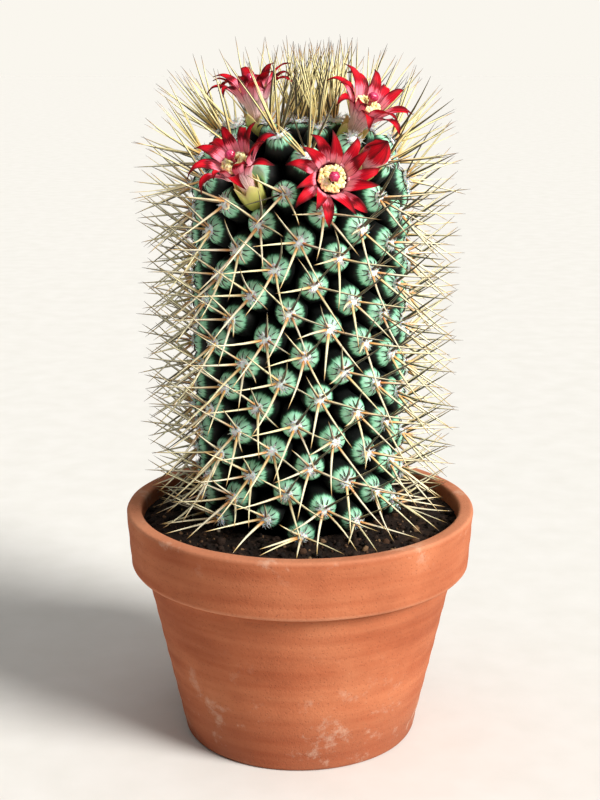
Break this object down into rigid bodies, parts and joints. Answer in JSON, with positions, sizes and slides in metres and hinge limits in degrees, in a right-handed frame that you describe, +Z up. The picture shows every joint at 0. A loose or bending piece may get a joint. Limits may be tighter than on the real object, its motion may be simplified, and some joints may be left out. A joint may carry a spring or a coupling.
{
  "type": "potted mammillaria pulchra",
  "caption": "Columnar nipple cactus with spiral tubercles, stars of long straw-coloured spines, crimson flowers and a bud, growing in soil in a round tapered terracotta pot.",
  "frame": {"origin": "centre of the pot's underside, on the surface it stands on, on the pot's axis", "axes": "+Z up along the stem, -Y towards the front with the open front flower, +X to the right seen from the front"},
  "size_m": [0.118, 0.118, 0.2352],
  "materials": {
    "terracotta": "matte",
    "soil": "matte",
    "flesh": "satin",
    "petals": "satin",
    "anthers": "matte",
    "stigma": "gloss",
    "sepals": "satin"
  },
  "bodies": {
    "root": {"pot": "terracotta", "soil": "soil", "stem": "flesh", "calyx_front": "sepals", "corolla_front": "petals", "stamens_front": "anthers", "pistil_front": "stigma", "calyx_left": "sepals", "corolla_left": "petals", "stamens_left": "anthers", "pistil_left": "stigma", "calyx_rear_left": "sepals", "corolla_rear_left": "petals", "stamens_rear_left": "anthers", "pistil_rear_left": "stigma", "calyx_rear_right": "sepals", "corolla_rear_right": "petals", "stamens_rear_right": "anthers", "pistil_rear_right": "stigma", "calyx_bud": "sepals", "petals_bud": "petals"}
  },
  "joints": []
}
